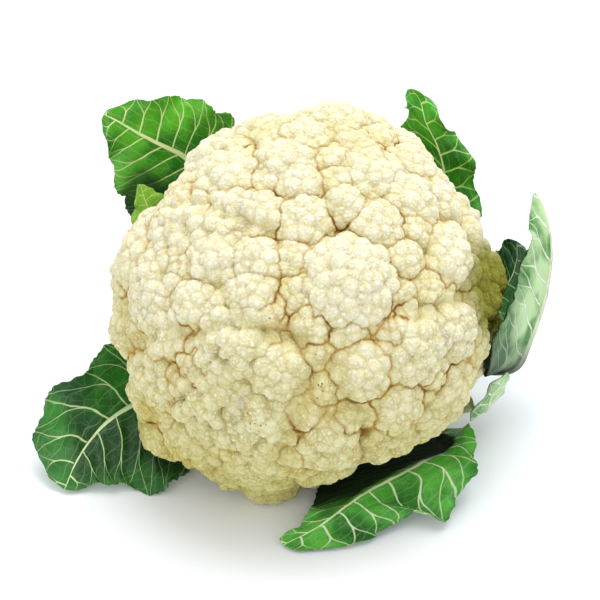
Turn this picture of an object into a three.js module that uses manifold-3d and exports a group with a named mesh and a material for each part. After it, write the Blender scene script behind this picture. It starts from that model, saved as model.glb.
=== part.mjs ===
// A head of cauliflower as it is picked: a domed curd of florets on a short cut stem, with the green
// leaves that wrapped it. It lies tipped forward on the front florets and the rim of the stem.
//
// Places are given facing the head, as someone does who looks down at it: across to the right, up, and
// near, which is out of its face. They are millimetres from the middle of the curd.
import * as THREE from "three";
import { ConvexGeometry } from "three/addons/geometries/ConvexGeometry.js";
import { mergeVertices } from "three/addons/utils/BufferGeometryUtils.js";
import Module from "manifold-3d";

const wasm = await Module();
wasm.setup();

// How the head lies on the table
const FACE_LIFT = THREE.MathUtils.degToRad(35); // its face looks up from the table by this much
const AXIS_LEAN = THREE.MathUtils.degToRad(25); // and its growing axis leans this much further back
const HEAD_HEIGHT = 75.5; // middle of the curd above the table
const HEAD_SHIFT = { x: 5.55, y: -22.55 }; // from the middle of the whole object to the middle of the curd

// The curd
const DOME_REACH = 91; // floret tops from the middle of the curd, at its sides
const CROWN_DROP = 13; // how much less they reach at the crown
const CORE_DEPTH = 11; // the solid heart lies this far under the floret tops
const UNDERSIDE = 38; // flat underside of the heart, below the middle of the curd
const SKIRT_ANGLE = THREE.MathUtils.degToRad(115); // middles of the last ring of florets, from the crown
const SKIRT_TURN = THREE.MathUtils.degToRad(12); // how far that ring turns in under the curd
const FLORET_SPREAD = 1.15; // a floret is a ball this much wider than the dome of it that shows
const BODY_SHARE = 0.93; // the ball under its lobes, as a share of its radius
const LOBE_SHARE = 0.34; // radius of its lobes, as a share of its own, with the base added
const LOBE_BASE = 1.4;
const LOBE_COVER = 6.9; // how closely lobes are set
const LOBE_SPREAD = 0.1; // how much their radius varies, each way
const LOBE_BACK = -0.4; // none is set further round the back of a floret, as a cosine
const SEED = 7;

// How the skin of the curd is split into triangles: trial points, and the room kept round each
const SKIN_TRIALS = 14000;
const SKIN_ROOM = 3.05;
const UNDER_ROOM = 9; // under the last ring of florets
const CREASE = 0.5; // two lobes meet where their reach differs by less than this

// The stem
const STEM_RADIUS = 20;
const STEM_FLARE = 36; // where it spreads into the branches under the curd
const STEM_LENGTH = 79; // the cut end, below the middle of the curd
const STEM_SIDES = 28;

// Leaves
const BLADE = 0.9; // thickness of a leaf blade
const JOIN_GAP = 0.3; // between pieces that touch
const LEAF_CLEARANCE = 0.5; // between a leaf and the curd
const BLADE_ROWS = 18;
const BLADE_COLUMNS = 4; // on each side of the midrib

const AXIS = new THREE.Vector3(0, Math.sin(AXIS_LEAN), Math.cos(AXIS_LEAN));

// The dome isn't even. It is fuller or flatter by this much round these directions, over a width in radians
const UNEVEN = [
  { at: [0.37, -0.93, 0], width: 0.38, by: -14 },
  { at: [-0.72, 0.68, 0], width: 0.25, by: -8 },
  { at: [-0.94, -0.34, 0], width: 0.2, by: -7 },
  { at: [0.2, 0.98, 0], width: 0.5, by: 4 },
  { at: [-0.74, -0.67, 0], width: 0.35, by: 4 },
  { at: [-0.2, -0.94, -0.26], width: 0.35, by: 9 },
];

// The large florets on the face: across, up, the radius that shows, and how far the floret is sunk
const FACE_FLORETS = {
  crown: [[15, 81, 12], [-18, 75, 13], [-9, 62, 10], [-34, 62, 16], [-51, 55, 11], [20, 65, 13], [43, 69, 12]],
  brow: [[-3, 51, 10], [29, 54, 13], [17, 43, 8], [57, 53, 14], [45, 45, 11], [-33, 36, 11], [-21, 38, 9]],
  middle: [[-1, 33, 14], [30, 32, 13], [43, 20, 7], [17, 6, 22, -2], [-20, 17, 13], [-23, 4, 9], [-16, -4, 10, 4]],
  right: [[57, 24, 16], [55, 7, 10], [69, 36, 11], [82, 13, 10, 2], [78, -8, 11], [60, -10, 12]],
  left: [[-50, 32, 15], [-72, 26, 14], [-79, 14, 11], [-61, 6, 14], [-44, -1, 13], [-39, 19, 9], [-76, -10, 11]],
  cheek: [[-60, -28, 18], [-31, -18, 14], [-11, -28, 13], [-37, -42, 15], [-60, -9, 10], [-64, -46, 12]],
  lap: [[6, -20, 8, 5], [7, -35, 8, 5], [23, -28, 12], [46, -17, 13], [54, -36, 16], [71, -27, 10]],
  foot: [[9, -52, 17], [38, -43, 10], [35, -60, 11], [50, -56, 9], [-19, -50, 12], [-48, -61, 13], [-33, -69, 13]],
  heel: [[2, -76, 11], [-18, -83, 11]],
};
// Smaller florets fill what is left, and the whole far side: the radius that shows, how far they are
// sunk, and the room they leave each other
const FILLING = [
  { shown: 14, sunk: 0, room: 0.68 },
  { shown: 11, sunk: 1, room: 0.66 },
  { shown: 8, sunk: 3, room: 0.6 },
];
const FILLING_TRIES = 900;

// A repeatable random number from 0 to 1
function randomFrom(seed) {
  let state = seed >>> 0;
  return () => {
    state = (Math.imul(state, 1664525) + 1013904223) >>> 0;
    return state / 4294967296;
  };
}

// How far floret tops reach from the middle of the curd in a direction
function domeReach(direction) {
  const rise = Math.max(0, direction.dot(AXIS));
  let reach = DOME_REACH - CROWN_DROP * rise ** 3;
  for (const { at, width, by } of UNEVEN) {
    const away = direction.angleTo(new THREE.Vector3(...at)) / width;
    reach += by * Math.exp(-away * away);
  }
  return reach;
}

// A floret on the face: how near it is follows from how far floret tops reach there
function faceFloret([across, up, shown, sunk = 0]) {
  const radius = FLORET_SPREAD * shown;
  const aside = Math.hypot(across, up);
  const middle = new THREE.Vector3(across, up, 0);
  let out = DOME_REACH;
  for (let pass = 0; pass < 4; pass++) {
    out = domeReach(middle.clone().normalize()) - radius - sunk;
    middle.z = Math.sqrt(Math.max(0, out * out - aside * aside));
  }
  return { middle: middle.setLength(out), radius };
}

// Points spread evenly over a sphere, turned by a spin
function spiralDirection(i, count, spin) {
  const z = 1 - (2 * i + 1) / count;
  const turn = i * Math.PI * (3 - Math.sqrt(5)) + spin;
  const ring = Math.sqrt(1 - z * z);
  return new THREE.Vector3(ring * Math.cos(turn), ring * Math.sin(turn), z);
}

// The florets of the face, then the filling wherever it finds room
function allFlorets() {
  const florets = Object.values(FACE_FLORETS).flat().map(faceFloret);
  for (const { shown, sunk, room } of FILLING) {
    const radius = FLORET_SPREAD * shown;
    for (let i = 0; i < FILLING_TRIES; i++) {
      const direction = spiralDirection(i, FILLING_TRIES, shown);
      if (direction.angleTo(AXIS) > SKIRT_ANGLE) continue;
      const middle = direction.clone().multiplyScalar(domeReach(direction) - radius - sunk);
      const free = florets.every((f) => f.middle.distanceTo(middle) > room * (f.radius + radius));
      if (free) florets.push({ middle, radius });
    }
  }
  return florets;
}

// A floret is a round body with smaller round lobes standing out of it
function lobesOf(floret, random) {
  const size = LOBE_SHARE * floret.radius + LOBE_BASE;
  const ring = floret.radius - size;
  const count = Math.ceil(LOBE_COVER * (ring / size) ** 2);
  const spin = random() * 2 * Math.PI;
  const outward = floret.middle.clone().normalize();
  const lobes = [{ middle: floret.middle, radius: BODY_SHARE * floret.radius }];
  for (let i = 0; i < count; i++) {
    const direction = spiralDirection(i, count, spin);
    const radius = size * (1 + LOBE_SPREAD * (2 * random() - 1));
    if (direction.dot(outward) < LOBE_BACK) continue;
    lobes.push({ middle: direction.multiplyScalar(ring).add(floret.middle), radius });
  }
  return lobes;
}

// The heart of the curd under the florets, with its flat underside
function heartReach(direction) {
  const drop = -direction.dot(AXIS);
  const reach = domeReach(direction) - CORE_DEPTH;
  return drop > 0 ? Math.min(reach, UNDERSIDE / drop) : reach;
}

// How far the curd reaches in a direction, and by how much the lobe on top beats the next one
function curdReach(direction, lobes) {
  let first = heartReach(direction);
  let second = 0;
  for (const { middle, radius } of lobes) {
    const along = middle.dot(direction);
    const inside = radius * radius - middle.lengthSq() + along * along;
    if (along <= 0 || inside <= 0) continue;
    const reach = along + Math.sqrt(inside);
    second = Math.max(second, Math.min(first, reach));
    first = Math.max(first, reach);
  }
  return { reach: first, lead: first - second };
}

// Points on the skin: first the tops of the lobes, then the creases between them, then the rest
function skinDirections(lobes) {
  const spread = Array.from({ length: SKIN_TRIALS }, (_, i) => spiralDirection(i, SKIN_TRIALS, 0));
  const tops = lobes.map((lobe) => lobe.middle.clone().normalize());
  const creases = spread.filter((direction) => curdReach(direction, lobes).lead < CREASE);
  const kept = [];
  for (const direction of [...tops, ...creases, ...spread]) {
    const below = direction.angleTo(AXIS) > SKIRT_ANGLE + SKIRT_TURN;
    const nearest = Math.cos((below ? UNDER_ROOM : SKIN_ROOM) / DOME_REACH);
    if (kept.every((other) => other.dot(direction) < nearest)) kept.push(direction);
  }
  return kept;
}

// The skin of the curd, moved outwards by a clearance where it trims a leaf
function curdGeometry(directions, lobes, clearance = 0) {
  const geometry = bare(new ConvexGeometry(directions));
  const position = geometry.getAttribute("position");
  const direction = new THREE.Vector3();
  for (let i = 0; i < position.count; i++) {
    direction.fromBufferAttribute(position, i).normalize();
    direction.multiplyScalar(curdReach(direction, lobes).reach + clearance);
    position.setXYZ(i, direction.x, direction.y, direction.z);
  }
  return geometry;
}

// The stem, turned about the growing axis: it swells under the curd and ends in a flat cut
function stemGeometry(clearance = 0) {
  const outline = [
    [STEM_RADIUS - 1, -STEM_LENGTH - clearance],
    [STEM_RADIUS, -STEM_LENGTH + 1.5],
    [STEM_RADIUS - 0.5, -66],
    [STEM_RADIUS + 2, -54],
    [STEM_RADIUS + 8, -45],
    [STEM_FLARE, -UNDERSIDE - JOIN_GAP],
  ];
  const side = outline.map(([radius, along]) => new THREE.Vector2(radius + clearance, along));
  const bottom = new THREE.Vector2(0, side[0].y);
  const top = new THREE.Vector2(0, side.at(-1).y);
  const points = [bottom, ...side, top];
  const geometry = new THREE.LatheGeometry(points, STEM_SIDES);
  geometry.rotateX(Math.PI / 2 - AXIS_LEAN);
  return geometry;
}

// Position only, with shared corners merged
function bare(geometry) {
  for (const name of ["normal", "uv"]) geometry.deleteAttribute(name);
  return mergeVertices(geometry, 1e-4);
}

function solidOf(geometry) {
  const merged = bare(geometry);
  return new wasm.Manifold(
    new wasm.Mesh({
      numProp: 3,
      vertProperties: merged.getAttribute("position").array,
      triVerts: new Uint32Array(merged.index.array),
    }),
  );
}

function geometryOf(solid) {
  const mesh = solid.getMesh();
  const geometry = new THREE.BufferGeometry();
  geometry.setAttribute("position", new THREE.BufferAttribute(mesh.vertProperties, 3));
  geometry.setIndex(new THREE.BufferAttribute(mesh.triVerts, 1));
  geometry.computeVertexNormals();
  return geometry;
}

function largestBody(solid) {
  return solid.decompose().reduce((a, b) => (a.volume() > b.volume() ? a : b));
}

// A block under the table, which cuts the small flats that the head rests on
function tableBlock() {
  const block = new THREE.BoxGeometry(600, 600, 60);
  block.translate(0, 0, -30 - HEAD_HEIGHT);
  block.rotateX(FACE_LIFT - Math.PI / 2);
  return solidOf(block);
}

// A place at a height above the table, which sets how near it is
function low(across, up, height) {
  const near = (height - HEAD_HEIGHT - up * Math.cos(FACE_LIFT)) / Math.sin(FACE_LIFT);
  return [across, up, near];
}

// A place on the stem where a leaf stalk leaves it: down the axis, and round it from the right
function onStem(down, turnDegrees, radius = STEM_RADIUS - 5) {
  const turn = THREE.MathUtils.degToRad(turnDegrees);
  const side = new THREE.Vector3(1, 0, 0).multiplyScalar(radius * Math.cos(turn));
  const back = new THREE.Vector3(0, AXIS.z, -AXIS.y).multiplyScalar(radius * Math.sin(turn));
  return AXIS.clone().multiplyScalar(-down).add(side).add(back).toArray();
}

// Each leaf is a row of stations from the stem to the tip. A station of the stalk is a place on the midrib
// and a half width. A station of the blade is a place on the left edge, the midrib and the right edge.
// The rib is its height at the stem. The wave is how often the edge swings, how far, and how deep it is cut.
const LEAVES = {
  leaf_left: {
    rib: 5.5,
    wave: { count: 3, height: 1.6, cut: 0.06 },
    stations: [
      { at: onStem(66, 190), half: 8 },
      { at: [-44.5, -37, -57], half: 8 },
      { left: [-65, -28.5, -50], at: [-64.5, -41.5, -43], right: [-54.5, -54.5, -50] },
      { left: [-88.5, -18.5, -30], at: [-79.5, -46.5, -32], right: low(-55, -80, 3) },
      { left: [-105, -31.5, -21], at: [-92, -54.5, -25], right: low(-70.5, -84.5, 2.5) },
      { left: [-119, -43.5, -16], at: [-100, -63.5, -21], right: low(-85, -82, 4.5) },
      { left: [-125, -61, -15], at: low(-105.5, -73, 9), right: low(-95, -82, 4.5) },
      { left: low(-117.5, -79, 6), at: low(-110, -84.5, 2.5), right: low(-105, -85, 2) },
    ],
  },
  leaf_front_right: {
    rib: 6,
    wave: { count: 5, height: 1.5, cut: 0.06 },
    stations: [
      { at: onStem(67, -38), half: 8 },
      { at: [42, -51, -58], half: 8 },
      { left: [40, -62, -46], at: [60, -64, -42], right: [74, -58, -34] },
      { left: [33, -70, -30], at: [64, -68, -24], right: [76, -55, -12] },
      { left: [20.5, -75.5, -22], at: [58, -70, -8], right: [77.5, -66, -2] },
      { left: low(9, -80, 2.5), at: [45, -76, 3], right: [75.5, -78.5, 5] },
      { left: low(4, -86.5, 3.5), at: low(31, -82.5, 13), right: low(61, -94.5, 8) },
      { left: low(3, -91, 7), at: low(18.5, -90, 11), right: low(49.5, -91, 10) },
      { left: low(-1, -96.5, 6), at: low(8, -97.5, 7), right: low(37.5, -99.5, 5) },
      { left: low(-6, -100.5, 4.5), at: low(0, -102, 4), right: low(18.5, -105.5, 2.5) },
      { left: low(-11, -104, 2.5), at: low(-9, -106, 2), right: low(-3, -107.5, 2) },
    ],
  },
  leaf_right: {
    rib: 4.5,
    wave: { count: 4, height: 1.2, cut: 0.05 },
    stations: [
      { at: onStem(50, 6), half: 7 },
      { at: [50, -22, -60], half: 7 },
      { at: [76, -28, -50], half: 8 },
      { left: [89, -30, -10], at: [98, -25, -34], right: [94, -6.5, -46] },
      { left: [88.5, -18, 4], at: [103.5, -14.5, -25], right: [98.5, 4, -48] },
      { left: [90.5, -4, 8], at: [108.5, 1, -22], right: [102.5, 17, -48] },
      { left: [97.5, 12, 4], at: [112.5, 15.5, -22], right: [107.5, 28, -44] },
      { left: [101.5, 28, -4], at: [113.5, 29.5, -24], right: [110, 37.5, -40] },
      { left: [104, 41.5, -18], at: [111, 44, -27], right: [109.5, 46.5, -35] },
      { left: [106.5, 51.5, -29], at: [108, 52.5, -30], right: [109, 51.5, -32] },
    ],
  },
  leaf_right_small: {
    rib: 3,
    wave: { count: 3, height: 1, cut: 0.1 },
    stations: [
      { at: onStem(52, -32), half: 5 },
      { at: [52, -41, -50], half: 5 },
      { at: [76, -47, -40], half: 5 },
      { left: [77, -54, -24], at: [84, -49, -28], right: [90, -42, -38] },
      { left: [77.5, -47, -12], at: [85, -43, -19], right: [91, -37, -30] },
      { left: [84, -38, -6], at: [89, -36, -14], right: [93, -32, -24] },
      { left: [91, -32.5, -8], at: [92, -32, -12], right: [93, -31, -16] },
    ],
  },
  leaf_right_inner: {
    rib: 3.5,
    wave: { count: 3, height: 1.5, cut: 0.06 },
    stations: [
      { at: onStem(58, 32), half: 6 },
      { at: [52, -3, -68], half: 6 },
      { left: [79, 8, -60], at: [80, -3, -60], right: [84, -14, -64] },
      { left: [90, 22, -54], at: [96, 8.5, -56], right: [103, -5, -62] },
      { left: [94, 29.5, -48], at: [102, 20, -53], right: [110, 9, -60] },
      { left: [97, 32, -46], at: [101.5, 30, -49], right: [106, 26, -54] },
    ],
  },
  leaf_upper_right: {
    rib: 5,
    wave: { count: 5, height: 3, cut: 0.1 },
    stations: [
      { at: onStem(66, 50), half: 7 },
      { at: [34, 0, -76], half: 7 },
      { left: [40, 38, -78], at: [56, 26, -70], right: [68, 12, -68] },
      { left: [38.5, 60, -70], at: [66, 44, -58], right: [82, 30, -52] },
      { left: [36, 76, -58], at: [67, 60, -49], right: [82.5, 51, -48] },
      { left: [37.5, 86, -48], at: [61, 74, -43], right: [76.5, 71, -43] },
      { left: [41.5, 89.5, -38], at: [56, 86, -38], right: [66, 84, -38] },
      { left: [44.5, 93, -34], at: [53, 96.5, -35], right: [59, 96.5, -36] },
      { left: [45.5, 99, -32], at: [47.5, 101, -32], right: [50.5, 100, -33] },
    ],
  },
  leaf_upper_left: {
    rib: 6,
    wave: { count: 5, height: 1.8, cut: 0.05 },
    stations: [
      { at: onStem(66, 140), half: 7 },
      { at: [-30, 20, -80], half: 7 },
      { left: [-52, 20, -80], at: [-40, 47, -77], right: [-15, 66.5, -74] },
      { left: [-70, 30, -72], at: [-50, 64, -63], right: [-25.5, 86.5, -56] },
      { left: [-82, 42, -64], at: [-59, 72, -54], right: [-36.5, 90, -44] },
      { left: [-89, 53.5, -56], at: [-70, 77, -46], right: [-51, 96.5, -38] },
      { left: [-92, 66.5, -47], at: [-80, 82, -40], right: [-66, 98, -34] },
      { left: [-94.5, 78.5, -36], at: [-89, 87, -34], right: [-82.5, 95, -32] },
      { left: [-95.5, 87, -33], at: [-94.5, 89.5, -33], right: [-93, 91.5, -33] },
    ],
  },
  leaf_sprig: {
    rib: 2.5,
    wave: { count: 4, height: 0.8, cut: 0.12 },
    stations: [
      { at: onStem(51, 160), half: 4 },
      { at: [-50, 8, -66], half: 4 },
      { at: [-66, 26, -60], half: 4 },
      { left: [-82, 37, -52], at: [-73, 42, -52], right: [-66, 49, -54] },
      { left: [-81, 47.5, -45], at: [-76, 50, -45], right: [-69, 53, -47] },
      { left: [-79, 57, -40], at: [-78, 57, -41], right: [-76, 57, -42] },
    ],
  },
  leaf_back: {
    rib: 6,
    wave: { count: 4, height: 2, cut: 0.06 },
    stations: [
      { at: onStem(66, 92), half: 7 },
      { at: [2, 8.5, -84], half: 7 },
      { left: [-19.5, 28.5, -90], at: [2, 28.5, -92], right: [24, 28.5, -88] },
      { left: [-35, 44, -94], at: [2, 46, -98], right: [37, 41.5, -92] },
      { left: [-33, 61.5, -98], at: [2, 61.5, -102], right: [37.5, 59, -97] },
      { left: [-20, 72.5, -102], at: [3.5, 75, -104], right: [24, 72.5, -102] },
      { left: [-3.5, 79.5, -104], at: [3.5, 80.5, -105], right: [9, 79.5, -104] },
    ],
  },
};

// Smooth curves along the midrib and both edges
function railsOf(stations) {
  const places = stations.map((station) => new THREE.Vector3(...station.at));
  const edges = stations.map((station, i) => {
    if (station.left) return [station.left, station.right].map((p) => new THREE.Vector3(...p));
    const before = places[Math.max(0, i - 1)];
    const after = places[i + 1];
    const side = after.clone().sub(before).cross(places[i]).normalize().multiplyScalar(station.half);
    return [places[i].clone().add(side), places[i].clone().sub(side)];
  });
  return {
    rib: new THREE.CatmullRomCurve3(places),
    left: new THREE.CatmullRomCurve3(edges.map((e) => e[0])),
    right: new THREE.CatmullRomCurve3(edges.map((e) => e[1])),
    bladeFrom: stations.findIndex((station) => station.left) / (stations.length - 1),
  };
}

// A leaf is one skin on the side of the curd and one on the far side, which the midrib stands out of.
// Both are split into triangles alike.
function leafGeometry({ stations, rib, wave }) {
  const rails = railsOf(stations);
  const columns = 2 * BLADE_COLUMNS + 1;
  const sheet = [];
  for (let row = 0; row <= BLADE_ROWS; row++) {
    const t = row / BLADE_ROWS;
    const middle = rails.rib.getPoint(t);
    const spread = THREE.MathUtils.smoothstep(t, rails.bladeFrom * 0.8, rails.bladeFrom + 0.25);
    for (let column = 0; column < columns; column++) {
      const s = column / BLADE_COLUMNS - 1;
      const edge = (s < 0 ? rails.left : rails.right).getPoint(t);
      const phase = 2 * Math.PI * wave.count * t + (s < 0 ? 0 : 2);
      const swing = spread * s * s * Math.min(1, 6 * (1 - t));
      const point = middle.clone().lerp(edge, Math.abs(s) * (1 + wave.cut * swing * Math.cos(1.5 * phase)));
      point.lift = wave.height * swing * Math.sin(phase);
      sheet.push(point);
    }
  }
  const at = (row, column) => sheet[row * columns + column];
  const inner = [];
  const outer = [];
  for (let row = 0; row <= BLADE_ROWS; row++) {
    const t = row / BLADE_ROWS;
    const half = at(row, 0).distanceTo(at(row, columns - 1)) / 2;
    for (let column = 0; column < columns; column++) {
      const along = at(Math.min(row + 1, BLADE_ROWS), column)
        .clone()
        .sub(at(Math.max(row - 1, 0), column));
      const across = at(row, Math.min(column + 1, columns - 1))
        .clone()
        .sub(at(row, Math.max(column - 1, 0)));
      const normal = across.cross(along).normalize();
      const point = at(row, column);
      const s = column / BLADE_COLUMNS - 1;
      const ribHeight = rib * (1 - 0.85 * t);
      const ribHalf = 0.9 * rib * (1.15 - t);
      const aside = (Math.abs(s) * half) / ribHalf;
      const keel = ribHeight * Math.exp(-aside * aside);
      inner.push(point.clone().addScaledVector(normal, point.lift + BLADE / 2));
      outer.push(point.clone().addScaledVector(normal, point.lift - BLADE / 2 - keel));
    }
  }
  return closedSheet(inner, outer, BLADE_ROWS + 1, columns);
}

// Two skins of points in rows, closed round the rim
function closedSheet(inner, outer, rows, columns) {
  const index = [];
  const far = rows * columns;
  const square = (a, b, c, d) => index.push(a, b, c, a, c, d);
  for (let row = 0; row + 1 < rows; row++) {
    for (let column = 0; column + 1 < columns; column++) {
      const a = row * columns + column;
      square(a, a + 1, a + columns + 1, a + columns);
      const b = a + far;
      index.push(b, b + columns + 1, b + 1, b, b + columns, b + columns + 1);
    }
  }
  const rim = [];
  for (let column = 0; column < columns; column++) rim.push(column);
  for (let row = 1; row < rows; row++) rim.push(row * columns + columns - 1);
  for (let column = columns - 2; column >= 0; column--) rim.push((rows - 1) * columns + column);
  for (let row = rows - 2; row > 0; row--) rim.push(row * columns);
  rim.forEach((a, i) => {
    const b = rim[(i + 1) % rim.length];
    square(a, a + far, b + far, b);
  });
  const geometry = new THREE.BufferGeometry();
  const points = [...inner, ...outer].flatMap((p) => p.toArray());
  geometry.setAttribute("position", new THREE.Float32BufferAttribute(points, 3));
  geometry.setIndex(index);
  return geometry;
}

const MATERIALS = {
  curd: new THREE.MeshStandardMaterial({ color: 0xf0e8c4, roughness: 0.7, metalness: 0 }),
  stem: new THREE.MeshStandardMaterial({ color: 0xdbe3b0, roughness: 0.6, metalness: 0 }),
  leaf: new THREE.MeshStandardMaterial({ color: 0x3f8a2c, roughness: 0.5, metalness: 0 }),
};

const cauliflower = new THREE.Group();
const head = new THREE.Group();
head.rotation.x = Math.PI / 2 - FACE_LIFT;
head.position.set(HEAD_SHIFT.x, HEAD_SHIFT.y, HEAD_HEIGHT);
cauliflower.add(head);

function addPiece(name, solid, material) {
  const mesh = new THREE.Mesh(geometryOf(solid), material);
  mesh.name = name;
  head.add(mesh);
}

const random = randomFrom(SEED);
const lobes = allFlorets().flatMap((floret) => lobesOf(floret, random));
const table = tableBlock();
const skin = skinDirections(lobes);
addPiece("curd", solidOf(curdGeometry(skin, lobes)).subtract(table), MATERIALS.curd);
addPiece("stem", solidOf(stemGeometry()).subtract(table), MATERIALS.stem);

const aroundCurd = solidOf(curdGeometry(skin, lobes, LEAF_CLEARANCE));
const aroundStem = solidOf(stemGeometry(JOIN_GAP));
for (const [name, leaf] of Object.entries(LEAVES)) {
  const whole = solidOf(leafGeometry(leaf));
  const fitted = largestBody(whole.subtract(aroundStem).subtract(aroundCurd).subtract(table));
  addPiece(name, fitted, MATERIALS.leaf);
}

export default cauliflower;
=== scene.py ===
# %% [markdown]
# # A head of cauliflower
#
# One head, as it is picked: a white curd on a short cut stem, with the green leaves that wrapped it.
# It lies tipped forward on a white table. We begin with the measured model of it. Each piece that we
# make takes the place of a plain solid there, so it has to lie where that solid lies.

import functools
import math

import bmesh
import bpy
import numpy as np
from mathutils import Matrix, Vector


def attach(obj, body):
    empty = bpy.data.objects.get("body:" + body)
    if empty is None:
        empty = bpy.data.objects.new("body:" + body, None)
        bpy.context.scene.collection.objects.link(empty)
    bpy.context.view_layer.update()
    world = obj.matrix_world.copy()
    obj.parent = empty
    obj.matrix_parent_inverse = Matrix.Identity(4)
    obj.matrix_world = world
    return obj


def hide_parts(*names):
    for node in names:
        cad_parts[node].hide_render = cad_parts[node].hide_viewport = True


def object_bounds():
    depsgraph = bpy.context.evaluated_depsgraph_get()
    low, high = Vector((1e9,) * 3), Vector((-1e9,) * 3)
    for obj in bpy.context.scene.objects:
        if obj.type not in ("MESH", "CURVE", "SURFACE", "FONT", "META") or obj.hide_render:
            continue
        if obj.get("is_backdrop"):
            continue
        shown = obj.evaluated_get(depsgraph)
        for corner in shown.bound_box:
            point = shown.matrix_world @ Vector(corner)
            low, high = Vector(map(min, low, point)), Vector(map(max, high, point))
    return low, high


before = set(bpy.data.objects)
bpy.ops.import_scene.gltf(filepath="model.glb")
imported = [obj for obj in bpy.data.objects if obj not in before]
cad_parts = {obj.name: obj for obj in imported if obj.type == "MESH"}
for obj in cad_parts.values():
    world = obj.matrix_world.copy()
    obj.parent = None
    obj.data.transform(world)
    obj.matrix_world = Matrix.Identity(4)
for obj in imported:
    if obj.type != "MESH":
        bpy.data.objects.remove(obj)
cad_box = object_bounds()
print("solids:", ", ".join(sorted(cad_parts)))

# %% [markdown]
# ## A way to give places
#
# On the table the head leans, which makes its places hard to think about. It is easier to look straight
# down at its face and say how far across, how far up and how near a point is, in millimetres from the
# middle of the curd. One function then turns such places into Blender's metres.

# %% Places on the head
FACE_LIFT = math.radians(35)  # the face looks up from the table by this much
AXIS_LEAN = math.radians(25)  # the growing axis leans this much further back
HEAD_HEIGHT = 75.5  # middle of the curd above the table
HEAD_SHIFT = (5.55, -22.55)  # from the middle of the whole object
AXIS = np.array([0, math.sin(AXIS_LEAN), math.cos(AXIS_LEAN)])


def on_table(places):
    """Places given as across, up and near, in Blender's metres."""
    across, up, near = np.asarray(places, float).reshape(-1, 3).T
    x = across + HEAD_SHIFT[0]
    y = up * math.sin(FACE_LIFT) - near * math.cos(FACE_LIFT) + HEAD_SHIFT[1]
    z = up * math.cos(FACE_LIFT) + near * math.sin(FACE_LIFT) + HEAD_HEIGHT
    return np.column_stack([x, y, z]) / 1000


def unit(ways):
    """The same directions with length 1."""
    ways = np.asarray(ways, float)
    return ways / np.linalg.norm(ways, axis=-1, keepdims=True)


print("middle of the curd:", on_table([0, 0, 0]).round(4))

# %% [markdown]
# ## The florets
#
# A curd is a crowd of florets, each a rounded knob on its own branch. No two heads have them in the same
# places, so the ones on the face are listed: across, up, the radius that shows and, for a few, how far
# they are sunk. Small ones fill the gaps and the far side by a rule. How near each lies follows from the
# shape of the whole dome, which is a ball with fuller and flatter places. Some of those are listed twice,
# in the plane of the outline and behind it, since florets on either side of it show there.

# %% The dome that the florets make
DOME_REACH = 91  # floret tops from the middle of the curd, at its sides
CROWN_DROP = 13  # how much less they reach at the crown
UNEVEN = [  # direction, width in radians, and by how much the dome is fuller or flatter there
    ([0.37, -0.93, 0], 0.4, -22),
    ([0.5, -0.75, -0.42], 0.35, -9),
    ([-0.76, 0.65, 0], 0.25, -13),
    ([-0.74, 0.52, -0.42], 0.26, -12),
    ([-0.92, -0.4, 0], 0.17, -14),
    ([-0.84, -0.34, -0.42], 0.24, -10),
    ([0.2, 0.98, 0], 0.5, 4),
    ([-0.09, 0.99, 0], 0.13, -7),
    ([-0.1, 0.88, -0.45], 0.2, -8),
    ([0.33, 0.94, 0], 0.13, 4),
    ([-0.76, -0.65, 0], 0.26, 12),
    ([0.945, 0.325, 0], 0.11, -12),
    ([0.85, 0.34, -0.42], 0.2, -9),
    ([0.74, 0.67, 0], 0.13, -4),
    ([0.99, 0.1, 0], 0.15, 8),
    ([0.95, -0.22, 0.15], 0.22, -5),
    ([0.85, -0.53, 0], 0.17, -3),
    ([-0.2, -0.94, -0.26], 0.35, 9),
]


def dome_reach(ways):
    """How far floret tops reach in each direction."""
    reach = DOME_REACH - CROWN_DROP * np.maximum(0, ways @ AXIS) ** 3
    for at, width, by in UNEVEN:
        away = np.arccos(np.clip(ways @ unit(at), -1, 1)) / width
        reach = reach + by * np.exp(-(away**2))
    return reach


# %% The florets of the face
FLORET_SPREAD = 1.15  # a floret is a ball this much wider than what shows of it
FACE_FLORETS = {  # each group: how crowded its florets are, and the florets
    "proud": (0.1, [
        (17, 6, 22, -4), (30, 32, 13), (-1, 33, 14), (-20, 17, 13), (57, 17, 18, -1), (-44, -1, 13),
    ]),
    "round": (0.3, [(-3, 51, 10), (17, 43, 8), (-11, -28, 13), (23, -28, 12), (9, -52, 17), (2, -76, 11)]),
    "sunk": (0.35, [
        (6, -20, 8, 5), (7, -35, 8, 5), (-23, 4, 9), (-16, -4, 10, 4), (43, 20, 7), (-18, -83, 11),
    ]),
    "crown": (0.85, [(15, 81, 12), (-18, 75, 13), (-9, 62, 10), (-34, 62, 16), (-51, 55, 11), (43, 69, 12)]),
    "brow": (0.7, [(20, 65, 13), (29, 54, 13), (57, 53, 14), (45, 45, 11), (-33, 36, 11), (-21, 38, 9)]),
    "right": (0.5, [(69, 38, 12), (82, 13, 10, 2), (78, -8, 11)]),
    "left": (0.85, [(-50, 32, 15), (-72, 26, 14), (-79, 14, 11), (-61, 6, 14), (-39, 19, 9), (-76, -10, 11)]),
    "cheek": (1.15, [
        (-60, -28, 18), (-31, -18, 14), (-37, -42, 15), (-60, -9, 10), (-64, -46, 12), (-19, -50, 12),
    ]),
    "jaw": (1.0, [(60, -10, 12), (46, -17, 13), (54, -36, 16), (71, -27, 10)]),
    "foot": (0.5, [(38, -43, 10), (35, -60, 11), (50, -56, 9), (-48, -61, 13), (-33, -69, 13)]),
}


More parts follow.
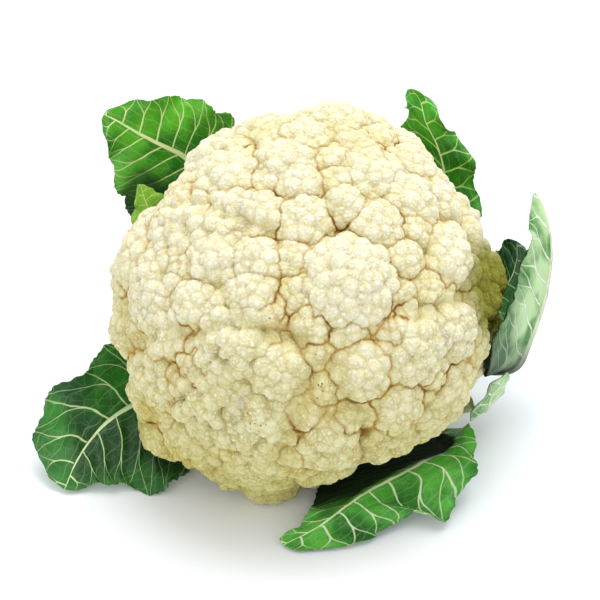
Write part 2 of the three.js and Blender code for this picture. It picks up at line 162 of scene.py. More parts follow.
def face_floret(across, up, shown, sunk=0):
    """Middle and radius of a floret seen at a place on the face."""
    radius = FLORET_SPREAD * shown
    middle = np.array([across, up, 0.0])
    for _ in range(4):  # the reach depends on the direction, so a few rounds settle both
        out = dome_reach(unit(middle)) - radius - sunk
        middle[2] = math.sqrt(max(0, out * out - across * across - up * up))
    return unit(middle) * out, radius


florets = [face_floret(*one) for _, group in FACE_FLORETS.values() for one in group]
crowding = [share for share, group in FACE_FLORETS.values() for _ in group]
print("florets on the face:", len(florets))

# %% The florets that fill the rest
SKIRT = math.radians(115)  # the last ring of florets, from the crown
FILLING = [(14, 0, 0.68), (11, 1, 0.66), (8, 3, 0.6)]  # radius that shows, how far sunk, room
FILLING_TRIES = 900  # places tried for each size
GOLDEN_TURN = math.pi * (3 - math.sqrt(5))


def round_the_ball(count, spin):
    """Directions spread evenly over a ball."""
    i = np.arange(count)
    z = 1 - (2 * i + 1) / count
    turn, ring = i * GOLDEN_TURN + spin, np.sqrt(1 - z * z)
    return np.column_stack([ring * np.cos(turn), ring * np.sin(turn), z])


for shown, sunk, room in FILLING:
    radius = FLORET_SPREAD * shown
    for way in round_the_ball(FILLING_TRIES, shown):
        if way @ AXIS < math.cos(SKIRT):
            continue
        middle = way * (dome_reach(way) - radius - sunk)
        if all(np.linalg.norm(middle - m) > room * (r + radius) for m, r in florets):
            florets.append((middle, radius))
print("florets in all:", len(florets))

# %% [markdown]
# ## Crowding
#
# Florets that grow against each other flatten and run together into larger masses. A ball that is wider
# and sunk by as much keeps its top in place, but meets its neighbours higher up, so the valleys between
# them close to narrow seams. Each group of the list has its own share: the proud florets in the middle
# of the face hardly run together, and those of the cheek and the jaw do most.

# %% Crowd the florets
FAR_CROWDING = 0.55  # of the florets that fill the rest


def crowded(middle, radius, share):
    """The same floret, wider by a share of its radius and sunk by as much."""
    return middle - unit(middle) * share * radius, radius * (1 + share)


crowding += [FAR_CROWDING] * (len(florets) - len(crowding))
florets = [crowded(*floret, share) for floret, share in zip(florets, crowding)]
print("widest floret:", round(max(radius for _, radius in florets), 1), "mm")

# %% [markdown]
# ## Valleys between the masses
#
# Where two masses meet, the valley is deeper and darker than any other. Each valley is a line over the
# face, and the finished skin is pushed in near it.

# %% Valleys
VALLEY_DEPTH, VALLEY_WIDTH = 3.4, 4.6  # millimetres
VALLEY_STEPS = 12  # between two places of a line
FACE_REACH = 85  # about how far the florets of the face reach
VALLEYS = [  # places on the face, across and up
    [(-76, -19), (-62, -9), (-47, -12), (-28, -6), (-18, -13), (-2, -17)],
    [(-60, 46), (-49, 46), (-38, 43), (-18, 36)],
    [(0, -33), (-6, -52), (-10, -64)],
    [(13, -26), (19, -40), (26, -51), (24, -62)],
    [(42, -2), (58, -2), (68, 3), (73, 14), (72, 26)],
]


def on_dome(across, up):
    """The direction of a place on the face."""
    return unit([across, up, math.sqrt(max(0, FACE_REACH**2 - across**2 - up**2))])


valley_marks = np.array([
    unit(on_dome(*start) * (1 - k / VALLEY_STEPS) + on_dome(*end) * k / VALLEY_STEPS)
    for line in VALLEYS for start, end in zip(line, line[1:]) for k in range(VALLEY_STEPS + 1)
])


def valley_depth(ways):
    """How far the skin is pushed in, in each direction."""
    nearest = [(some @ valley_marks.T).max(1) for some in np.array_split(ways, 20)]  # saves memory
    away = np.arccos(np.concatenate(nearest).clip(-1, 1))
    return VALLEY_DEPTH * np.exp(-((DOME_REACH * away / VALLEY_WIDTH) ** 2))


print("marks along the valleys:", len(valley_marks))

# %% [markdown]
# ## Lobes and buds
#
# A floret repeats itself: it carries lobes, the lobes carry knobs, and the knobs carry buds two
# millimetres wide. Each level winds out from its own tip by the golden angle, as the plant does, and is
# smallest at the tip, where it is youngest. One function gives that winding for every level.

# %% A winding of the golden angle
def winding(count, widest, crowding, spin, way):
    """Directions wound out from a direction, and how far each is tilted from it."""
    i = np.arange(count) + 0.5
    tilt = widest * (i / count) ** crowding
    turn = GOLDEN_TURN * i + spin
    flat = np.column_stack([np.sin(tilt) * np.cos(turn), np.sin(tilt) * np.sin(turn), np.cos(tilt)])
    side = unit(np.cross(way, [0.36, 0.48, 0.8] if abs(way[2]) < 0.7 else [1, 0.2, 0]))
    return flat @ np.array([side, np.cross(way, side), way]), tilt


# %% The lobes of a floret
BODY_SHARE = 0.83  # the floret's body under its lobes, as a share of its radius
LOBE_EDGE = math.radians(110)  # how far round the floret they go
LOBE_CROWDING = 0.72  # above 0.5, they are closer together at the tip
LOBE_SIZE = 5.2
LOBE_COVER = 1.15  # they cover the floret this many times over
LOBE_RADIUS = 0.67  # as a share of the root of its room
WIDEST_LOBE = 0.5  # as a share of the floret's radius
LOBE_STRAY = 0.06  # how far they stray from the winding
LOBE_STAND = (-1.1, 0.5)  # some stand further out than others, in millimetres
rng = np.random.default_rng(11)


def lobes_of(middle, radius):
    """Middles of the lobes from the floret's middle, and their radii."""
    count = round(3 * (radius / LOBE_SIZE) ** 2 + 6)
    ways, tilt = winding(count, LOBE_EDGE, LOBE_CROWDING, rng.uniform(0, 6.28), unit(middle))
    ways = unit(ways + rng.normal(0, LOBE_STRAY, ways.shape))
    room = 2 * math.pi * radius**2 * np.sin(tilt) * LOBE_CROWDING * tilt / (np.arange(count) + 0.5)
    size = LOBE_RADIUS * np.sqrt(LOBE_COVER * room) * rng.uniform(0.88, 1.12, count)
    size = np.minimum(size, WIDEST_LOBE * radius)
    stand = radius - size + rng.uniform(*LOBE_STAND, count)
    return ways * stand[:, None], size


lobes = [lobes_of(*floret) for floret in florets]
print("lobes:", sum(len(size) for _, size in lobes))


# %% How far a floret reaches
def floret_reach(number, ways):
    """Reach from the floret's own middle, the lobe on top (or -1), and its lead over the next one."""
    at, size = lobes[number]
    along = ways @ at.T
    inside = size**2 - (at**2).sum(1) + along**2
    reach = np.where((inside > 0) & (along > 0), along + np.sqrt(np.maximum(inside, 0)), 0)
    top = reach.argmax(1)
    rows = np.arange(len(ways))
    first = reach[rows, top]
    reach[rows, top] = 0
    body = BODY_SHARE * florets[number][1]
    lead = first - np.maximum(reach.max(1), body)
    return np.maximum(first, body), np.where(lead > 0, top, -1), np.abs(lead)


# %% [markdown]
# ## A grid for round things
#
# To put buds on a ball we need points spread evenly over it. A ball of latitude rings bunches its points
# at the poles. Splitting the twenty faces of an icosahedron gives nearly equal triangles everywhere, and
# any number of splits gives the size of triangle we want.

# %% Split an icosahedron
@functools.lru_cache(maxsize=None)
def round_grid(steps):
    """Directions and triangles of an icosahedron whose edges are split into steps."""
    shell = bmesh.new()
    bmesh.ops.create_icosphere(shell, subdivisions=1, radius=1)
    corners = np.array([corner.co[:] for corner in shell.verts])
    faces = np.array([[corner.index for corner in face.verts] for face in shell.faces])
    shell.free()
    place, weights = {}, []
    for i in range(steps + 1):
        for j in range(steps + 1 - i):
            place[i, j] = len(weights)
            weights.append(((steps - i - j) / steps, i / steps, j / steps))
    split = []
    for i, j in place:
        if i + j < steps:
            split.append((place[i, j], place[i + 1, j], place[i, j + 1]))
        if i + j < steps - 1:
            split.append((place[i + 1, j], place[i + 1, j + 1], place[i, j + 1]))
    points = unit(np.einsum("wk,fkc->fwc", np.array(weights), corners[faces]).reshape(-1, 3))
    every = (np.array(split)[None] + len(weights) * np.arange(20)[:, None, None]).reshape(-1, 3)
    _, kept, same = np.unique(points.round(6), axis=0, return_index=True, return_inverse=True)
    return points[kept], same.reshape(-1)[every]


print("triangles of a ball in ten steps:", len(round_grid(10)[1]))

# %% [markdown]
# ## The heart
#
# Under the florets the branches grow together into one solid heart, flat below where they spread from
# the stem. Little of it shows, but it closes every gap between florets, and it lets us leave out all the
# floret skin that lies buried in it.

# %% The heart of the curd
CORE_DEPTH = 11  # it lies this far under the floret tops
UNDERSIDE = 38  # its flat underside, below the middle of the curd


def heart_reach(ways):
    """How far the heart reaches in each direction."""
    reach = dome_reach(ways) - CORE_DEPTH
    drop = np.maximum(-(ways @ AXIS), 1e-6)
    return np.minimum(reach, UNDERSIDE / drop)


# %% [markdown]
# ## One floret
#
# For each floret we take a round grid, push every point out to the lobe on top, and measure the gap to
# the neighbours. Points buried in a neighbour go. What is left is raised into knobs and buds. While we
# are here, we write down how deep in a crease each point lies: the paint will need that later.

# %% Knobs and buds
BUD_SPACING, BUD_HEIGHT = 2.4, 0.45
KNOB_SPACING, KNOB_HEIGHT = 5.2, 0.5
REACH_ROUND_LOBE = 1.66  # buds cover a lobe this far round, in radians
BUMP_CROWDING = 0.52
CLOSEST = 0.866  # room of a bump where they lie closest, in squares of their spacing
BUMP_EDGE, FURROW_WIDTH = 0.68, 0.32  # in spacings
FURROW_DEPTH = 0.25  # as a share of the height


def bumps(ways, way, size, spacing, height, spin):
    """Height of wound bumps over a lobe, and 0 on their tops to 1 in the furrows between them."""
    count = max(5, round(math.pi * (size * REACH_ROUND_LOBE / spacing) ** 2 / CLOSEST))
    tops, _ = winding(count, REACH_ROUND_LOBE, BUMP_CROWDING, spin, way)
    nearest = np.partition(ways @ tops.T, -2, axis=1)[:, -2:]
    second, first = (np.arccos(nearest.clip(-1, 1)) * size / spacing).T
    furrow = np.exp(-((BUD_SPACING / spacing * (second - first) / FURROW_WIDTH) ** 2))
    return height * ((1 - (first / BUMP_EDGE) ** 3).clip(0) - FURROW_DEPTH * furrow), furrow


# %% Build a floret
GRAIN = 0.6  # length of a triangle's edge
BURIED = 0.8  # skin this far under a neighbour is left out
CORNERS_APART = 1.107  # neighbouring corners of an icosahedron, in radians
LOBE_MARGIN = 3  # lobes stand out of their floret by less
HEART_GAP = 0.4  # keeps the seam a little paler where skin meets the heart
BUMP_ROOM = 1  # skin is sunk by this much, so that its bumps don't make it larger
BETWEEN_LOBES = 0.7  # skin between lobes counts as this much of a furrow
SEAM_FADE, FOLD_FADE = 1.1, 0.8  # millimetres
PAINTED_LEAF_SHADOW = [([86, 8, 31], 23), ([96, 4, 2], 26)]  # painted shadow of the tall leaf on the florets behind it: darker and greener
YELLOW_TINT_PATCHES = [([-52, -66, 22], 13), ([-66, -44, 24], 10)]  # these are tinted yellower
SPECKED = [([6, -20, 84], 9), ([5, -37, 76], 9), ([-15, -3, 80], 6), ([-20, -48, 66], 7)]


def patch(places, spots):
    """From 0 to 1 near the middle of each patch, given as its place and its width."""
    return sum(np.exp(-((np.linalg.norm(places - at, axis=1) / wide) ** 2)) for at, wide in spots).clip(0, 1)


def floret_skin(number):
    """Points, triangles and traits of what shows of a floret."""
    middle, radius = florets[number]
    grain = GRAIN + 0.2 * min(1, max(0, -middle[2] / 50))  # a little coarser on the far side
    ways, faces = round_grid(round(CORNERS_APART * radius / grain))
    reach, lobe, lead = floret_reach(number, ways)
    points = middle + ways * reach[:, None]
    out = np.linalg.norm(points, axis=1)
    gap = out - heart_reach(points / out[:, None])
    gap[gap > -BURIED] = gap[gap > -BURIED].clip(HEART_GAP)
    for other, (beside, wide) in enumerate(florets):
        if other == number or np.linalg.norm(beside - middle) > radius + wide + LOBE_MARGIN:
            continue
        from_it = points - beside
        away = np.linalg.norm(from_it, axis=1)
        near = (away < wide + LOBE_MARGIN) & (gap > -BURIED)
        buried = near & (away < BODY_SHARE * wide - BURIED)
        gap[buried] = -2 * BURIED
        near &= ~buried
        if near.any():
            there = floret_reach(other, from_it[near] / away[near, None])[0]
            gap[near] = np.minimum(gap[near], away[near] - there)
    shown = faces[(gap[faces] > -BURIED).any(1)]
    kept, shown = np.unique(shown, return_inverse=True)
    points, lobe, lead, gap = points[kept], lobe[kept], lead[kept], gap[kept]
    edge = np.full(len(kept), BETWEEN_LOBES)
    at, size = lobes[number]
    for one in np.unique(lobe[lobe >= 0]):
        on = lobe == one
        upright = unit(points[on] - middle - at[one])
        way = unit(at[one])
        knob, knob_edge = bumps(upright, way, size[one], KNOB_SPACING, KNOB_HEIGHT, rng.uniform(0, 6))
        bud, bud_edge = bumps(upright, way, size[one], BUD_SPACING, BUD_HEIGHT, rng.uniform(0, 6))
        points[on] += upright * (knob + bud - BUMP_ROOM)[:, None]
        edge[on] = np.maximum(knob_edge, 0.8 * bud_edge)
    points -= unit(points) * valley_depth(unit(points))[:, None]
    traits = {
        "seam": np.exp(-gap.clip(0) / SEAM_FADE),
        "fold": np.exp(-lead / FOLD_FADE),
        "furrow": edge,
        "depth": (np.linalg.norm(points, axis=1) - dome_reach(unit(points))).clip(-12, 2),
        "shade": patch(points, PAINTED_LEAF_SHADOW),
        "aged": patch(points, YELLOW_TINT_PATCHES),
        "specks": patch(points, SPECKED),
    }
    return points, shown.reshape(-1, 3), traits


# %% [markdown]
# ## Joining the curd
#
# A hundred and more florets as separate objects would be hard to handle, and one mesh of them all would
# be very large. So they are joined into a crown and eight sectors round the growing axis. Each of these
# stands for the curd solid of the measured model.

# %% Make a mesh from points and triangles
def mesh_piece(name, points, faces, traits):
    """A smooth mesh with a number for each trait at every point."""
    mesh = bpy.data.meshes.new(name)
    mesh.vertices.add(len(points))
    mesh.vertices.foreach_set("co", np.ascontiguousarray(points, np.float32).ravel())
    mesh.loops.add(3 * len(faces))
    mesh.loops.foreach_set("vertex_index", np.ascontiguousarray(faces, np.int32).ravel())
    mesh.polygons.add(len(faces))
    mesh.polygons.foreach_set("loop_start", np.arange(0, 3 * len(faces), 3, dtype=np.int32))
    mesh.update(calc_edges=True)
    mesh.shade_smooth()
    for trait, values in traits.items():
        values = np.broadcast_to(values, len(points))
        mesh.attributes.new(trait, "FLOAT", "POINT").data.foreach_set("value", values.astype(np.float32))
    piece = bpy.data.objects.new(name, mesh)
    bpy.context.scene.collection.objects.link(piece)
    return piece


def above_table(places):
    """Places in Blender's metres, with what would go through the table flattened on it."""
    points = on_table(places)
    points[:, 2] = points[:, 2].clip(0)
    return points


def stand_in(piece, node):
    """Let a piece ride with the head and take the place of a solid."""
    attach(piece, "root")
    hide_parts(node)
    return piece


def joined(parts):
    """Several skins as one."""
    points, faces, traits, before = [], [], {}, 0
    for part_points, part_faces, part_traits in parts:
        points.append(part_points)
        faces.append(part_faces + before)
        before += len(part_points)
        for trait, values in part_traits.items():
            traits.setdefault(trait, []).append(values)
    return np.vstack(points), np.vstack(faces), {t: np.concatenate(v) for t, v in traits.items()}


# %% Share the florets out
CROWN_EDGE = math.radians(42)
SECTOR = math.pi / 4
ACROSS_AXIS = np.cross(AXIS, [1, 0, 0])
sectors = {}
for number, (middle, _) in enumerate(florets):
    turn = math.atan2(middle @ ACROSS_AXIS, middle[0]) % (2 * math.pi)
    in_crown = unit(middle) @ AXIS > math.cos(CROWN_EDGE)
    sector = "crown" if in_crown else f"side_{int(turn / SECTOR) + 1}"
    sectors.setdefault(sector, []).append(number)

curd_pieces = []
for sector, members in sorted(sectors.items()):
    points, faces, traits = joined([floret_skin(number) for number in members])
    piece = stand_in(mesh_piece(f"curd_{sector}", above_table(points), faces, traits), "curd")
    curd_pieces.append(piece)
    print(piece.name, len(members), "florets,", len(faces), "triangles")

# %% Build the heart
HEART_STEPS = 44
HEART_BURIED = 2.5  # skin this far under a floret is left out
ways, faces = round_grid(HEART_STEPS)
places = ways * (heart_reach(ways) - valley_depth(ways))[:, None]
below = np.clip((-(ways @ AXIS) - 0.35) / 0.1, 0, 1)  # 1 on the flat underside
buried = np.min([np.linalg.norm(places - m, axis=1) - BODY_SHARE * r for m, r in florets], axis=0)
faces = faces[(buried[faces] > -HEART_BURIED).any(1)]
kept, faces = np.unique(faces, return_inverse=True)
# the heart shows only in deep gaps and takes a deep seam's colour: partly its own, partly painted shade
heart_traits = {"seam": 1 - below[kept], "furrow": 0.3, "depth": -11 + 6 * below[kept]}
heart_traits.update(fold=0, shade=0, aged=0, specks=0)
points = above_table(places[kept])
heart = stand_in(mesh_piece("curd_heart", points, faces.reshape(-1, 3), heart_traits), "curd")
curd_pieces.append(heart)
print("heart:", len(heart.data.polygons), "triangles")

# %% [markdown]
# ## Materials as small networks
#
# Blender's materials are networks of nodes. Adding each one by hand takes many lines, so a few short
# helpers add a node, do arithmetic, ease between two values and mix two colours. Colours are given as
# they look on a screen and turned into the linear values that Blender counts in. Paint goes on in layers,
# each laid over what is there by a share from 0 to 1, which a trait of the mesh or a noise can drive.

# %% Helpers for materials
def screen(*rgb):
    """A colour given as 0 to 255 on a screen, as Blender's linear values."""
    shares = np.array(rgb) / 255
    return (*(c / 12.92 if c <= 0.04045 else ((c + 0.055) / 1.055) ** 2.4 for c in shares), 1)


def put(socket, value):
    """Link a socket to another, or set its value."""
    if isinstance(value, bpy.types.NodeSocket):
        socket.id_data.links.new(value, socket)
    else:
        socket.default_value = value


class Finish:
    """One material and the nodes that make it."""

    def __init__(self, name):
        self.material = bpy.data.materials.new(name)
        self.material.use_nodes = True
        self.tree = self.material.node_tree
        self.shader = self.tree.nodes["Principled BSDF"]
        self.paint = None

    def node(self, kind, inputs=None, **settings):
        node = self.tree.nodes.new(kind)
        for key, value in settings.items():
            setattr(node, key, value)
        for key, value in (inputs or {}).items():
            put(node.inputs[key], value)
        return node

    def trait(self, name):
        """A number that the mesh carries at its points."""
        return self.node("ShaderNodeAttribute", attribute_name=name).outputs["Fac"]

    def sum(self, way, first, second=0.0):
        return self.node("ShaderNodeMath", {0: first, 1: second}, operation=way).outputs[0]

    def times(self, first, second):
        return self.sum("MULTIPLY", first, second)

    def ease(self, value, low, high, to_low=0.0, to_high=1.0):
        """A value, or a trait given by its name, eased between two marks."""
        value = self.trait(value) if isinstance(value, str) else value
        inputs = {"Value": value, "From Min": low, "From Max": high, "To Min": to_low, "To Max": to_high}
        return self.node("ShaderNodeMapRange", inputs, interpolation_type="SMOOTHSTEP").outputs[0]

    def mix(self, share, first, second, way="MIX"):
        """Two colours mixed, each an output of a node or three numbers of a screen."""
        node = self.node("ShaderNodeMix", data_type="RGBA", blend_type=way)
        put(node.inputs[0], share)
        for place, colour in ((6, first), (7, second)):
            put(node.inputs[place], screen(*colour) if isinstance(colour, tuple) else colour)
        return node.outputs[2]

    def layer(self, share, colour, way="MIX"):
        """Lay a colour over the paint."""
        self.paint = self.mix(share, self.paint, colour, way)

    def noise(self, scale, detail=2.0):
        """A cloudy value; the scale is in clouds a metre."""
        place = self.node("ShaderNodeTexCoord").outputs["Object"]
        inputs = {"Vector": place, "Scale": scale, "Detail": detail}
        return self.node("ShaderNodeTexNoise", inputs).outputs[0]

    def cells(self, scale, feature="F1"):
        """Distance from the middle of a cell, or from its edge; the scale is in cells a metre."""
        place = self.node("ShaderNodeTexCoord").outputs["Object"]
        node = self.node("ShaderNodeTexVoronoi", {"Vector": place, "Scale": scale}, feature=feature)
        return node.outputs["Distance"]

    def set(self, **sockets):
        for name, value in sockets.items():
            put(self.shader.inputs[name.replace("_", " ").title().replace("Ior", "IOR")], value)

    def bump(self, height, distance, strength):
        inputs = {"Height": height, "Distance": distance, "Strength": strength}
        put(self.shader.inputs["Normal"], self.node("ShaderNodeBump", inputs).outputs[0])


# %% [markdown]
# ## The finish of the curd
#
# A curd is warm ivory, a little see-through like wax. Its colour changes with depth, partly as its own
# colour and partly as painted shade: pale on the bud tops, straw in the furrows between them, ochre in
# the folds and brown in the seams between florets. The numbers that we stored at the points of the mesh
# drive this. The smallest buds are too fine for the mesh, so cells of a noise, two millimetres wide, draw
# their edges.

# %% Ivory, straw and ochre
ivory = Finish("ivory_curd")
ivory.paint = ivory.mix(ivory.ease(ivory.noise(38, 3), 0.3, 0.7), (246, 244, 236), (242, 239, 222))
# darker and yellower with depth: partly the curd's own colour, partly painted shade
ivory.layer(ivory.ease("depth", -1.5, -9.0, 0.0, 0.72), (222, 212, 158))
straw = ivory.mix(ivory.noise(120), (206, 202, 148), (204, 191, 130))
bud_edge = ivory.cells(460, "DISTANCE_TO_EDGE")
drawn_edge = ivory.ease(bud_edge, 0.13, 0.0, 0.0, 0.6)
ivory.layer(ivory.sum("MAXIMUM", ivory.ease("furrow", 0.2, 1.0, 0.0, 0.45), drawn_edge), straw)
ivory.layer(ivory.ease("fold", 0.3, 1.0, 0.0, 0.5), (204, 188, 112))

# %% [markdown]
# Low on the head a painted shade makes the curd darker and greener, and the edges of its buds show as
# dark crumbs. So the height above the table drives some layers, with a cloudy noise added to hide where
# they begin.

# %% Crumbs
place = ivory.node("ShaderNodeSeparateXYZ", {0: ivory.node("ShaderNodeTexCoord").outputs["Object"]})
height = ivory.sum("ADD", place.outputs[2], ivory.times(ivory.noise(22, 2), 0.04))
crumbs = ivory.times(ivory.ease(bud_edge, 0.24, 0.02), ivory.ease(ivory.noise(150), 0.42, 0.6))
ivory.layer(ivory.times(crumbs, ivory.ease(height, 0.16, 0.06, 0.22, 0.55)), (180, 166, 84))

# %% [markdown]
# Seams are darkest deep in the valleys, partly as the curd's own colour and partly as painted shade. An
# even line round every floret would look drawn, so a noise breaks them, and a finer one leaves only
# pieces of their brown floor.

# %% Seams
in_valley = ivory.ease("depth", -2.0, -7.5, 0.2, 1.0)
in_valley = ivory.times(in_valley, ivory.ease(ivory.noise(26), 0.36, 0.62, 0.35, 1.0))
# seams, darker deep in the valleys: partly the curd's own colour, partly painted shade
ivory.layer(ivory.times(ivory.ease("seam", 0.3, 1.0), in_valley), (202, 164, 88))
seam_floor = ivory.times(ivory.ease("seam", 0.55, 1.0), ivory.ease(ivory.noise(60), 0.42, 0.62))
ivory.layer(ivory.times(seam_floor, ivory.ease(in_valley, 0.5, 1.0)), (124, 80, 32))

# %% [markdown]
# Last come tints that multiply what is there: painted shade low down, darker and greener, a painted
# shadow of the tall leaf, also darker and greener, on the florets behind it, and yellow on two florets
# low at the left. A few brown specks sit in the middle of the face.

# %% Tints and specks
# painted shade: darker and greener towards the table
ivory.layer(ivory.ease(height, 0.165, 0.025, 0.0, 0.82), (216, 214, 144), "MULTIPLY")
# painted shadow of the tall leaf on the florets behind it
ivory.layer(ivory.ease("shade", 0.1, 0.9), (156, 160, 80), "MULTIPLY")
# a yellower tint on two florets low at the left
ivory.layer(ivory.ease("aged", 0.1, 1.0, 0.0, 0.6), (240, 224, 130), "MULTIPLY")
speck = ivory.times(ivory.ease(ivory.cells(430), 0.26, 0.2), ivory.ease("specks", 0.2, 0.7, 0.0, 0.75))
ivory.layer(speck, (120, 80, 36))

# %% Surface of the curd
ivory.set(base_color=ivory.paint, roughness=0.7, specular_ior_level=0.14)
ivory.set(subsurface_weight=0.3, subsurface_scale=0.003, subsurface_radius=(1.0, 0.8, 0.45))
rounded = ivory.ease(bud_edge, 0.0, 0.34)
ivory.bump(ivory.sum("ADD", rounded, ivory.times(ivory.cells(1400), 0.3)), 0.0005, 0.7)
for piece in curd_pieces:
    piece.data.materials.append(ivory.material)
print("curd painted:", len(curd_pieces), "pieces")

# %% [markdown]
# ## The stem
#
# The stem is turned about the growing axis, so an outline swept round that axis gives its shape. Real
# ones aren't even: they have scars where lower leaves broke off, and fibres that run down them. We press
# those into the mesh, and close the cut end with a pith that has dried a little lower than its rim.

# %% The outline of the stem
STEM_OUTLINE = [(0, -77.6), (9, -77.8), (14, -78.4), (17.6, -79), (19.2, -78.7), (20, -77.5), (19.5, -66)]
STEM_OUTLINE += [(22, -54), (28, -45), (36, -38.3), (36, -36.5)]
STEM_TURNS = 120
SCARS = [(0.4, -70), (2.1, -72), (3.9, -68), (5.4, -71), (1.2, -62), (4.7, -60)]  # turn and height
SCAR_WIDTH, SCAR_HEIGHT = 0.55, 1.1  # radians round the stem, millimetres along it


def along_outline(outline, step):
    """The outline with points added so that none is further than a step from the next."""
    points = [outline[0]]
    for (r0, d0), (r1, d1) in zip(outline, outline[1:]):
        count = max(1, math.ceil(math.hypot(r1 - r0, d1 - d0) / step))
        points += [(r0 + (r1 - r0) * k / count, d0 + (d1 - d0) * k / count) for k in range(1, count + 1)]
    return np.array(points)


def two_triangles(a, b, c, d):
    """Triangles of many squares, whose corners are given as four arrays of point numbers."""
    a, b, c, d = map(np.ravel, (a, b, c, d))
    return np.concatenate([np.column_stack([a, b, c]), np.column_stack([a, c, d])])


def tube_faces(rings, sides):
    """Triangles between rings of points."""
    ring, side = np.meshgrid(np.arange(rings - 1), np.arange(sides), indexing="ij")
    a, b = ring * sides + side, ring * sides + (side + 1) % sides
    return two_triangles(a, b, b + sides, a + sides)


# %% Build the stem
outline = along_outline(STEM_OUTLINE, 1.1)
turn = np.linspace(0, 2 * math.pi, STEM_TURNS, endpoint=False)
radius, down = np.repeat(outline, STEM_TURNS, 0).T
turns = np.tile(turn, len(outline))
on_side = (radius > 18.9) & (down > -77.4)  # not the cut end or its rim
fibre = 0.25 * np.sin(31 * turns + 2 * np.sin(0.12 * down)) + 0.2 * np.sin(53 * turns + 0.3 * down)
scar = sum(
    np.exp(-(((turns - at + math.pi) % (2 * math.pi) - math.pi) / SCAR_WIDTH) ** 2
           - ((down - low) / SCAR_HEIGHT) ** 2)
    for at, low in SCARS
)
radius = radius + np.where(on_side, fibre * 0.6 - 0.35 - 0.9 * scar, 0)
right, back = np.array([1, 0, 0]), np.array([0, AXIS[2], -AXIS[1]])
around = np.cos(turns)[:, None] * right + np.sin(turns)[:, None] * back
places = down[:, None] * AXIS + radius[:, None] * around
stem_traits = {
    "cut": (~on_side & (down < -76)).astype(float),
    "pith": radius / 20,
    "scar": np.where(on_side, scar, 0).clip(0, 1),
    "turn": np.where(on_side, fibre, 0),
}
stem_parts = [(places, tube_faces(len(outline), STEM_TURNS)[:, ::-1], stem_traits)]
print("stem rings:", len(outline))

# %% [markdown]
# ## Branches under the curd
#
# Turn a cauliflower over and you see its branches: the stem splits, each branch forks, and every fork
# ends under a floret at the rim. They lie half sunk in the flat underside. A branch is a round tube whose
# radius changes along a path.

# %% Build the branches
BRANCHES = 9
FORK_SPREAD = 0.17  # radians to each side


def branch(path, radii, sides=14, rings=22):
    """A round tube along a path of places, with a radius at each."""
    t = np.linspace(0, 1, rings)
    marks = np.linspace(0, 1, len(path))
    line = np.column_stack([np.interp(t, marks, np.array(path)[:, k]) for k in range(3)])
    wide = np.interp(t, marks, radii)
    ahead = unit(np.gradient(line, axis=0))
    flat = unit(np.cross(ahead, AXIS))
    over = np.cross(flat, ahead)
    turn = np.tile(np.linspace(0, 2 * math.pi, sides, endpoint=False), rings)
    wide, flat, over, line = (np.repeat(a, sides, 0) for a in (wide, flat, over, line))
    points = line + wide[:, None] * (np.cos(turn)[:, None] * flat + np.sin(turn)[:, None] * over)
    none = np.zeros(len(points))
    return points, tube_faces(rings, sides), {"cut": none, "pith": none + 1, "scar": none, "turn": none}


def under(radius, turn, down):
    """A place round the growing axis."""
    return radius * (math.cos(turn) * right + math.sin(turn) * back) - down * AXIS


for k in range(BRANCHES):
    turn = (k + 0.3 * math.sin(5 * k)) * 2 * math.pi / BRANCHES
    path = [under(22, turn, 40), under(34, turn, 36.5), under(46, turn, 33.5)]
    stem_parts.append(branch(path, [11, 8, 6.5]))
    for spread in (-FORK_SPREAD, FORK_SPREAD):
        fork = [under(40, turn, 35.5), under(52, turn + 0.6 * spread, 34.2), under(68, turn + spread, 33)]
        stem_parts.append(branch(fork, [7, 6, 6.5]))
points, faces, traits = joined(stem_parts)
stem = stand_in(mesh_piece("stem_and_branches", above_table(points), faces, traits), "stem")
print("stem:", len(faces), "triangles")

# %% Pale green of the stem
flesh = Finish("stem_flesh")
flesh.paint = flesh.mix(flesh.noise(70, 3), (214, 226, 168), (186, 205, 132))
flesh.layer(flesh.ease("turn", -0.3, 0.4, 0.35, 0.0), (158, 184, 104))
flesh.layer(flesh.ease("scar", 0.2, 0.9), (190, 160, 104))
pith = flesh.mix(flesh.ease("pith", 0.5, 0.75), (242, 238, 208), (222, 226, 176))
pith = flesh.mix(flesh.ease("pith", 0.8, 0.93), pith, (196, 206, 140))
pith = flesh.mix(flesh.ease(flesh.cells(420), 0.1, 0.0, 0.0, 0.4), pith, (176, 164, 108))
flesh.layer(flesh.trait("cut"), pith)
flesh.set(base_color=flesh.paint, roughness=0.5, subsurface_weight=0.15)
flesh.set(subsurface_scale=0.002, specular_ior_level=0.4)
flesh.bump(flesh.noise(500, 4), 0.0004, 0.4)
stem.data.materials.append(flesh.material)

# %% [markdown]
# ## Where the leaves go
#
# A leaf is laid out by stations from the stem to its tip, like the ribs of a boat. A station of the
# stalk is a place and a half width. A station of the blade is a place on the left edge, on the midrib
# and on the right edge. Smooth curves through them then give every point between.
#
# With the stations go the height of the midrib, how often the edge waves, how far and how deep it is
# cut, the distance between side veins and how far the edge frills. A leaf that shows its outer face is
# turned. Some have bolder veins, less shine, or a painted shadow on a dark part: how dark it is, how far
# left of the midrib it starts, and how far along the leaf it goes.

# %% Stations of the leaves
def low(across, up, height):
    """A place at a height above the table, which sets how near it is."""
    near = (height - HEAD_HEIGHT - up * math.cos(FACE_LIFT)) / math.sin(FACE_LIFT)
    return [across, up, near]


def on_stem(down, degrees, radius=15):
    """A place where a stalk leaves the stem."""
    return under(radius, math.radians(degrees), down)


